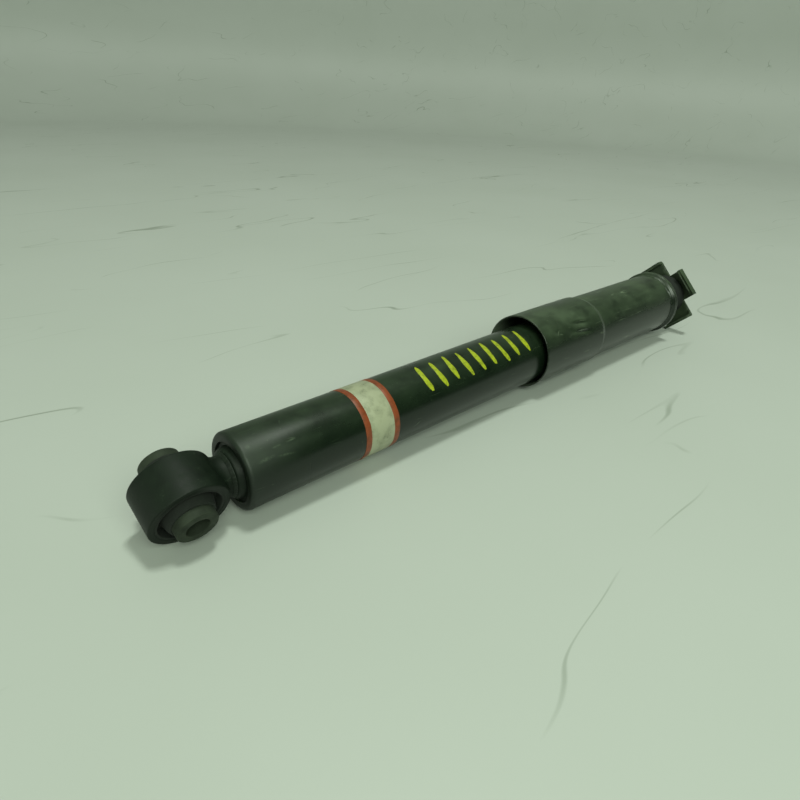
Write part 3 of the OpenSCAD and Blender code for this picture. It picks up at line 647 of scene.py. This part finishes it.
markVerts, markFaces = [], []
for stroke in range(marks["count"]):
    sway = math.sin(stroke * 2.3)
    rows, columns, base = marks["rows"], marks["columns"], len(markVerts)
    for i in range(rows):
        t = i / (rows - 1)
        midX = (marks["firstX"] + marks["spacing"] * stroke + marks["sway"] * sway * (t - 0.5)
                + marks["hook"] * math.sin(math.pi * t))
        midAngle = math.radians(marks["startAngle"] + marks["swayAngle"] * sway
                                + (marks["endAngle"] - marks["startAngle"]) * t)
        width = marks["widest"] * (0.7 + 0.3 * t) * math.sin(math.pi * min(max(t, 0.02), 0.98)) ** 0.35
        width *= 1 + 0.12 * math.sin(9 * t + stroke)
        for j in range(columns):
            across = 2 * j / (columns - 1) - 1
            x = midX + across * width / 2
            lift = marks["thickness"] * (1 - across ** 4) - marks["under"]
            radius = tubeRadius + lift
            markVerts.append((x, -radius * math.sin(midAngle), radius * math.cos(midAngle)))
    markFaces += gridFaces(rows, columns, base)
markerSlashes = makePiece("markerSlashes", markVerts, markFaces, yellowMarker, 80)
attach(markerSlashes, bodyOf["body_tube"])
print("marks made")


# ---- dust cover and top cup ----

cover = {
    "wall": 1.2, "wideLength": 86.6, "coneLength": 5.5, "step": 1.65, "flareLength": 2.2,
    "flareStep": 2.35, "edge": 0.5, "waviness": 0.12,
    "lean": (1.6, 2.4),      # how far the open end hangs off the axis, along Y and Z
    # each dent's place along, angle from the top, half length, half width and depth
    "dents": [(370, 43, 10, 1.8, 1.0), (369, 57, 10, 1.7, 0.9), (334, 45, 3.5, 2.6, 0.5),
              (352, 50, 6, 3.5, 0.5)],
    "dentSlant": 0.15, "dentLip": 0.35, "lipAt": 1.7,      # the sheet rises a little beside each dent
    "crimps": 9, "crimpDepth": 1.0, "crimpWidth": 0.9, "crimpsBelow": 3.4, "crimpRowGap": 1.9}
coverFrom, coverTo, flareRadius = low("dust_cover"), high("dust_cover"), radiusOf("dust_cover")
neckRadius = flareRadius - cover["flareStep"]
wideRadius = neckRadius + cover["step"]
coneAt = coverFrom + cover["wideLength"]
flareAt = coverTo - cover["flareLength"]


def coverShape(along, radius, angle):
    wave = cover["waviness"] * (np.sin(2 * angle + 0.6) * np.sin(along / 37)
                                + 0.5 * np.sin(3 * angle) * np.sin(along / 23 + 1))
    pushed = np.zeros_like(radius)
    for x, degrees, length, width, depth in cover["dents"]:
        aside = (angle - math.radians(degrees)) * wideRadius - cover["dentSlant"] * (along - x)
        reachAlong = depth * bell(along - x, length)
        pushed += reachAlong * bell(aside, width)
        pushed -= cover["dentLip"] * reachAlong * bell(aside + cover["lipAt"] * width, width)
    # crimps: short pressed arcs in two staggered rows, just below the flare
    turnsRound = angle / (2 * np.pi) * cover["crimps"]
    for row in (0, 1):
        inArc = np.clip(4 * np.cos(2 * np.pi * (turnsRound + row / 2)) + 2.2, 0, 1)
        crimpAt = flareAt - cover["flareStep"] - cover["crimpsBelow"] + cover["crimpRowGap"] * row
        pushed += cover["crimpDepth"] * inArc * bell(along - crimpAt, cover["crimpWidth"] / 2)
    hang = (coverTo - along) / (coverTo - coverFrom)
    lean = hang * (cover["lean"][1] * np.cos(angle) - cover["lean"][0] * np.sin(angle))
    return along, radius + lean + (wave - pushed) * np.clip((coverTo - along) / 4, 0, 1)


crimpZone = flareAt - cover["flareStep"] - 7
coverOutline = filled(rounded([
    (coverFrom, wideRadius - cover["wall"], 0.4), (coverFrom, wideRadius, cover["edge"]),
    (coneAt, wideRadius, 1.4), (coneAt + cover["coneLength"], neckRadius, 1.8),
    (crimpZone, neckRadius, 0), (flareAt - cover["flareStep"], neckRadius, 1.0), (flareAt, flareRadius, 0.8),
    (coverTo, flareRadius, 0.5), (coverTo, flareRadius - cover["wall"], 0.3),
    (flareAt, flareRadius - cover["wall"], 0.4),
    (flareAt - cover["flareStep"], neckRadius - cover["wall"], 1.2),
    (coneAt + cover["coneLength"], neckRadius - cover["wall"], 1.2),
    (coneAt, wideRadius - cover["wall"], 1.2)]), 2.0)
coverOutline = [fine for here, after in zip(coverOutline, coverOutline[1:] + coverOutline[:1])
                for fine in ([here, here.lerp(after, 0.33), here.lerp(after, 0.67)]
                             if crimpZone < here.x < flareAt and (after - here).length > 0.5 else [here])]
dustCover = makePiece("dustCover", *turnedGrid(coverOutline, 216, shape=coverShape), coverPaint)
# the faces turned towards the axis take the paler inside paint: painted light inside the mouth
dustCover.data.materials.append(insidePaintedLightAndDust)
for face in dustCover.data.polygons:
    face.material_index = int(face.normal.y * face.center.y + face.normal.z * face.center.z < -0.01)
standFor(dustCover, "dust_cover")

cup = {"edge": 2.4, "wall": 2.5, "lipEdge": 0.7}
cupTo, cupRim = high("top_cup"), coverTo + 0.2
shankRadius = 5.2
cupInner = flareRadius - cover["wall"] - 0.02
cupOutline = rounded([
    (cupTo, shankRadius, 0), (cupTo, flareRadius, cup["edge"]), (cupRim, flareRadius, cup["lipEdge"]),
    (cupRim, cupInner, 0.2), (low("top_cup"), cupInner, 0.3), (low("top_cup"), cupInner - cup["wall"], 0.3),
    (cupTo - cup["wall"], cupInner - cup["wall"], 1.5), (cupTo - cup["wall"], shankRadius, 0)], 7)
standFor(makePiece("topCup", *turnedGrid(cupOutline, 160), coverPaint), "top_cup")
print("dust cover made")


# ---- top mount ----

cushion = {"waist": 2.5, "bead": 1.2, "plain": 1.5, "steps": 18}     # plain: the straight part at each end
cushionFrom, cushionTo, cushionRadius = low("top_cushion"), high("top_cushion"), radiusOf("top_cushion")
spacerRadius = radiusOf("top_spacer")
waistline = [(cushionFrom + cushion["plain"]
              + (cushionTo - cushionFrom - 2 * cushion["plain"]) * k / cushion["steps"],
              cushionRadius - cushion["waist"] * math.sin(math.pi * k / cushion["steps"]) ** 1.5, 0)
             for k in range(cushion["steps"] + 1)]
cushionOutline = rounded([(cushionFrom, spacerRadius, 0), (cushionFrom, cushionRadius, cushion["bead"])]
                         + waistline[1:-1]
                         + [(cushionTo, cushionRadius, cushion["bead"]), (cushionTo, spacerRadius, 0)])
standFor(makePiece("topCushion", *turnedGrid(cushionOutline, 128), blackRubber),
         "top_cushion")

stop = {"lobes": 3, "clearance": 0.4, "valley": 4.2, "steps": 60}
stopFrom, stopTo, stopRadius = low("bump_stop"), high("bump_stop"), radiusOf("bump_stop")
rodRadius = 6.25
stopOutline = [(stopFrom, rodRadius + stop["clearance"])]
for k in range(stop["steps"] + 1):
    share = k / stop["steps"]
    lobe = abs(math.sin(math.pi * stop["lobes"] * share)) ** 0.55
    stopOutline.append((stopFrom + (stopTo - stopFrom) * share, stopRadius - stop["valley"] * (1 - lobe)))
stopOutline.append((stopTo, rodRadius + stop["clearance"]))
bumpStop = standFor(makePiece("bumpStop", *turnedGrid(stopOutline, 96), polyurethaneFoam),
                    "bump_stop")

rod = {"pitch": 1.25, "threadDepth": 0.7, "rowsPerTurn": 10, "tipFlats": 6.0}
stud = mounts["top_stud"]
threadMiddle = stud["pos_m"][0] / mm
threadHalf = stud["dims"]["length_mm"] / 2
studRadius = stud["dims"]["r_mm"]
threadFrom, threadTo = threadMiddle - threadHalf, threadMiddle + threadHalf
rodFrom, rodTo = low("piston_rod"), high("piston_rod")
shoulderAt = cupTo - cup["wall"]
stackEnd = high("piston_washer")


def rodShape(along, radius, angle):
    inThread = (along > threadFrom + 0.4) & (along < threadTo - 0.3) & (radius > 1)
    turn = (along / rod["pitch"] - angle / (2 * np.pi)) % 1
    fade = np.clip((along - threadFrom) / 1.5, 0, 1) * np.clip((threadTo - along) / 1.0, 0, 1)
    radius = radius - inThread * fade * rod["threadDepth"] * np.abs(2 * turn - 1)
    # two flats on the tip, across the frame's Y
    onTip = (along > threadTo + 0.2) & (np.abs(radius * np.sin(angle)) > rod["tipFlats"] / 2)
    return along, np.where(onTip, rod["tipFlats"] / 2 / np.maximum(np.abs(np.sin(angle)), 0.3), radius)


rodOutline = rounded([
    (rodFrom, 0, 0), (rodFrom, studRadius, 0.8), (stackEnd, studRadius, 0), (stackEnd, rodRadius, 0.3),
    (shoulderAt, rodRadius, 0.3), (shoulderAt, shankRadius, 0), (threadFrom, shankRadius, 0.1),
    (threadFrom + 0.2, studRadius, 0), (threadTo, studRadius, 0.8), (threadTo + 0.2, studRadius - 1, 0),
    (rodTo, studRadius - 1, 0.6), (rodTo, 0, 0)], 4)
threadPoints = [p for p in rodOutline if p[0] < threadFrom + 0.5]
threadRows = int((threadTo - threadFrom - 1) / rod["pitch"] * rod["rowsPerTurn"])
threadPoints += [(threadFrom + 0.5 + (threadTo - threadFrom - 1) * k / threadRows, studRadius)
                 for k in range(threadRows + 1)]
threadPoints += [p for p in rodOutline if p[0] > threadTo - 0.5]
pistonRod = makePiece("pistonRod", *turnedGrid(threadPoints, 96, shape=rodShape), metals["hardChrome"], 50)
pistonRod.data.materials.append(metals["zincPlate"])
for face in pistonRod.data.polygons:
    face.material_index = 0 if stackEnd * mm < face.center.x < shoulderAt * mm else 1
standFor(pistonRod, "piston_rod")

bracket = {"wall": 3.0, "bendRadius": 3.0, "armWidth": 31.5, "reaches": (35.5, 32.5), "turn": 45,
           "edge": 0.5, "cells": 8}
plateTop, lipEnd = high("cross_bracket"), low("cross_bracket")
halfWidth = bracket["armWidth"] / 2
midBend = bracket["bendRadius"] - bracket["wall"] / 2      # the sheet's middle is what is bent
lipBottom = lipEnd - (plateTop - bracket["wall"] / 2)
bracketVerts, bracketFaces = [], []
cells = bracket["cells"]


def armPath(reach):
    # the sheet's middle along an arm: out from the hub, round the bend, down the lip
    flatEnd = reach - bracket["bendRadius"]
    path = [(halfWidth + (flatEnd - halfWidth) * k / 5, 0) for k in range(1, 6)]
    path += [(flatEnd + midBend * math.sin(math.radians(a)), -midBend * (1 - math.cos(math.radians(a))))
             for a in (15, 30, 45, 60, 75, 90)]
    return path + [(flatEnd + midBend, -midBend + (lipBottom + midBend) * k / 3) for k in (1, 2, 3)]


def sheetPoint(out, across, height, quarter):
    turn = math.radians(bracket["turn"] + 90 * quarter)
    y, z = out * math.cos(turn) - across * math.sin(turn), out * math.sin(turn) + across * math.cos(turn)
    bracketVerts.append((plateTop - bracket["wall"] / 2 + height, y, z))


for quarter in range(4):
    base = len(bracketVerts)
    for ring in range(4):       # the hub, from its hole to the square that the arms start from
        for k in range(cells + 1):
            across = halfWidth * (2 * k / cells - 1)
            holeAngle = math.radians(45) * (2 * k / cells - 1)
            share = ring / 3
            sheetPoint(shankRadius * math.cos(holeAngle) * (1 - share) + halfWidth * share,
                       shankRadius * math.sin(holeAngle) * (1 - share) + across * share, 0, quarter)
    path = armPath(bracket["reaches"][quarter % 2])
    for out, height in path:
        for k in range(cells + 1):
            sheetPoint(out, halfWidth * (2 * k / cells - 1), height, quarter)
    bracketFaces += gridFaces(4 + len(path), cells + 1, base)
crossBracket = makePiece("crossBracket", bracketVerts, bracketFaces, bracketPaint)
thickness = crossBracket.modifiers.new("sheet", "SOLIDIFY")
thickness.thickness, thickness.offset = bracket["wall"] * mm, 0
softEdge = crossBracket.modifiers.new("edges", "BEVEL")
softEdge.width, softEdge.segments, softEdge.limit_method = bracket["edge"] * mm, 3, "ANGLE"
standFor(crossBracket, "cross_bracket")
print("top mount made")


# ---- finishes for the CAD parts that stay ----

finishes = {
    "tube_steel": metals["drawnSteel"], "sintered_iron": metals["sinteredIron"],
    "spring_steel": metals["springSteel"], "bearing_bronze": metals["leadedBronze"],
    "band_ptfe": filledPtfe, "plated_steel": metals["zincPlate"], "black_rubber": blackRubber}
nodeFinish = {
    "pressure_tube": "tube_steel", "base_valve_body": "sintered_iron",
    "base_valve_shims": "spring_steel", "base_valve_plate": "spring_steel",
    "base_valve_spring": "spring_steel", "base_valve_bolt": "plated_steel",
    "rod_guide": "sintered_iron", "guide_bush": "bearing_bronze", "rod_seal": "black_rubber",
    "closure_plate": "plated_steel", "piston_band": "band_ptfe", "piston": "sintered_iron",
    "compression_shims": "spring_steel", "rebound_shims": "spring_steel",
    "piston_washer": "plated_steel", "piston_nut": "plated_steel", "rebound_collar": "plated_steel",
    "rebound_bumper": "black_rubber", "top_spacer": "plated_steel"}
for node, slot in nodeFinish.items():
    frame["nodes"][node].data.materials.clear()
    frame["nodes"][node].data.materials.append(finishes[slot])
print("inner parts finished")


# ---- bench, light and camera ----

bench = {
    "colour": "#bec2bd", "shade": "#b6bbb4", "scratch": "#8d9489", "roughness": 0.5,
    "flatRadius": 2700, "curve": 500, "wallHeight": 1200,
    "wallFrom": -8, "wallTo": 150, "wallFade": 30,     # the wall stands only behind, in degrees from +X
    "cloud": 260, "scratchGap": 150, "scratchPatch": 60, "scratches": 0.9}


def paintedBoard(name, look):
    # white painted board: satin, slightly cloudy, and scratched by what was laid on it
    material, tree = startMaterial(name)
    place = addNode(tree, "TexCoord").outputs["Object"]
    cloud = addNode(tree, "TexNoise", inputs={
        "Vector": place, "Scale": perMetre(look["cloud"]), "Detail": 3.0, "Roughness": 0.5})
    clean = addNode(tree, "Mix", {"data_type": "RGBA"}, {
        0: cloud.outputs["Fac"], 6: hexColour(look["colour"]), 7: hexColour(look["shade"])})
    scratches = []
    for turn, shift in ((0.5, 0.0), (2.2, 1.7)):     # two sets of scratches that cross
        laid = addNode(tree, "Mapping", inputs={
            "Vector": place, "Rotation": (0, 0, turn), "Location": (shift, shift, 0),
            "Scale": (0.22, 1, 1)}).outputs[0]
        scratches.append(hairlines(tree, laid, laid, look, 3.0, 0.4, (0.0008, 0.0028), (0.52, 0.66)))
    lines = addNode(tree, "Math", {"operation": "MAXIMUM"}, {0: scratches[0], 1: scratches[1]})
    colour = addNode(tree, "Mix", {"data_type": "RGBA"}, {
        0: lines, 6: clean.outputs[2], 7: hexColour(look["scratch"])})
    finishMaterial(tree, {"Base Color": colour.outputs[2], "Roughness": look["roughness"], "IOR": 1.45})
    return material


def wallShape(along, radius, angle):
    # full height between the two directions, and down to a flat edge beyond them
    middle, half = (bench["wallFrom"] + bench["wallTo"]) / 2, (bench["wallTo"] - bench["wallFrom"]) / 2
    away = np.abs((np.degrees(angle) - middle + 180) % 360 - 180)
    return along * np.clip((half + bench["wallFade"] - away) / bench["wallFade"], 0, 1), radius


# a bench top that runs up into a wall behind; it touches the eye and one bracket arm
eyeLow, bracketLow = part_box("eye_ring")[0].z / mm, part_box("cross_bracket")[0].z / mm
fall = (eyeLow - bracketLow) / high("cross_bracket")     # the damper leans down towards its bracket
benchMiddle = Vector((high("cross_bracket") / 2, 0, 0))
wallProfile = [(0, bench["flatRadius"] * k / 8) for k in range(9)]
wallProfile += [(bench["curve"] * (1 - math.cos(math.radians(a))),
                 bench["flatRadius"] + bench["curve"] * math.sin(math.radians(a))) for a in range(10, 91, 10)]
wallProfile += [(bench["wallHeight"], bench["flatRadius"] + bench["curve"])]
benchSteps = 96
benchVerts, benchFaces = turnedGrid(wallProfile, benchSteps, (0, 0, 1), (1, 0, 0), wallShape)
benchVerts = benchVerts + np.array(benchMiddle)
benchVerts[:, 2] += eyeLow - fall * benchVerts[:, 0]
benchFaces = [face for face in benchFaces if max(face) - min(face) < 2 * benchSteps]   # open at the top
floor = makePiece("benchTop", benchVerts, benchFaces, paintedBoard("paintedBoard", bench), 60)

# the ceiling panel is the main light, almost straight above; the window screen lifts the shadows,
# and the doorway lights what faces the eye's end, the cover's mouth too
lamps = {
    "ceilingPanel": {"from": (780, -255, 4500), "to": (300, 0, 0), "size": (0.75, 0.63),
                     "power": 97, "tint": "#f3fff0"},
    "windowScreen": {"from": (-560, -1950, 1750), "to": (250, 0, 0), "size": (2.0, 1.2),
                     "power": 54, "tint": "#eafbe5"},
    "doorway": {"from": (-2400, 250, 620), "to": (200, 0, 0), "size": (1.8, 1.1),
                "power": 8, "tint": "#eafbe5"}}
for name, lamp in lamps.items():
    lampData = bpy.data.lights.new(name, "AREA")
    lampData.shape, lampData.size, lampData.size_y = "RECTANGLE", *lamp["size"]
    lampData.energy = lamp["power"]
    lampObject = bpy.data.objects.new(name, lampData)
    lampObject.location = Vector(lamp["from"]) * mm
    lampAim = Vector(lamp["to"]) - Vector(lamp["from"])
    lampObject.rotation_euler = lampAim.to_track_quat("-Z", "Y").to_euler()
    lampObject.visible_camera = False
    lampData.color = hexColour(lamp["tint"])[:3]
    bpy.context.scene.collection.objects.link(lampObject)

# a dim room behind the viewer, pale towards the far side of the ceiling
room = {"pale": "#d2dccb", "dim": "#2c342b", "paleSide": (-0.2, 0.45, 0.87), "strength": 0.36}
world = bpy.data.worlds.new("room")
bpy.context.scene.world = world
world.use_nodes = True
sky = world.node_tree
sky.nodes.clear()
direction = addNode(sky, "TexCoord").outputs["Generated"]
towards = addNode(sky, "VectorMath", {"operation": "DOT_PRODUCT"}, {0: direction, 1: room["paleSide"]})
paleShare = addNode(sky, "MapRange", {"interpolation_type": "SMOOTHSTEP"}, {
    "Value": towards.outputs["Value"], "From Min": -0.05, "From Max": 0.95})
skyColour = addNode(sky, "Mix", {"data_type": "RGBA"}, {
    0: paleShare, 6: hexColour(room["dim"]), 7: hexColour(room["pale"])})
background = addNode(sky, "Background", inputs={
    "Color": skyColour.outputs[2], "Strength": room["strength"]})
addNode(sky, "OutputWorld", inputs={"Surface": background})

view = {"from": (-97.6, -279.6, 215.9), "at": (170.7, 0, 2.8), "roll": 2.78, "lens": 27, "sensor": 36}
cameraData = bpy.data.cameras.new("camera")
cameraData.lens, cameraData.sensor_width = view["lens"], view["sensor"]
cameraData.clip_start, cameraData.clip_end = 0.01, 50
camera = bpy.data.objects.new("camera", cameraData)
camera.location = Vector(view["from"]) * mm
aim = (Vector(view["at"]) - Vector(view["from"])).to_track_quat("-Z", "Y")
camera.rotation_euler = (aim @ Euler((0, 0, math.radians(view["roll"]))).to_quaternion()).to_euler()
bpy.context.scene.collection.objects.link(camera)
bpy.context.scene.camera = camera
bpy.context.scene.view_settings.view_transform = "Standard"
print("bench, light and camera made")
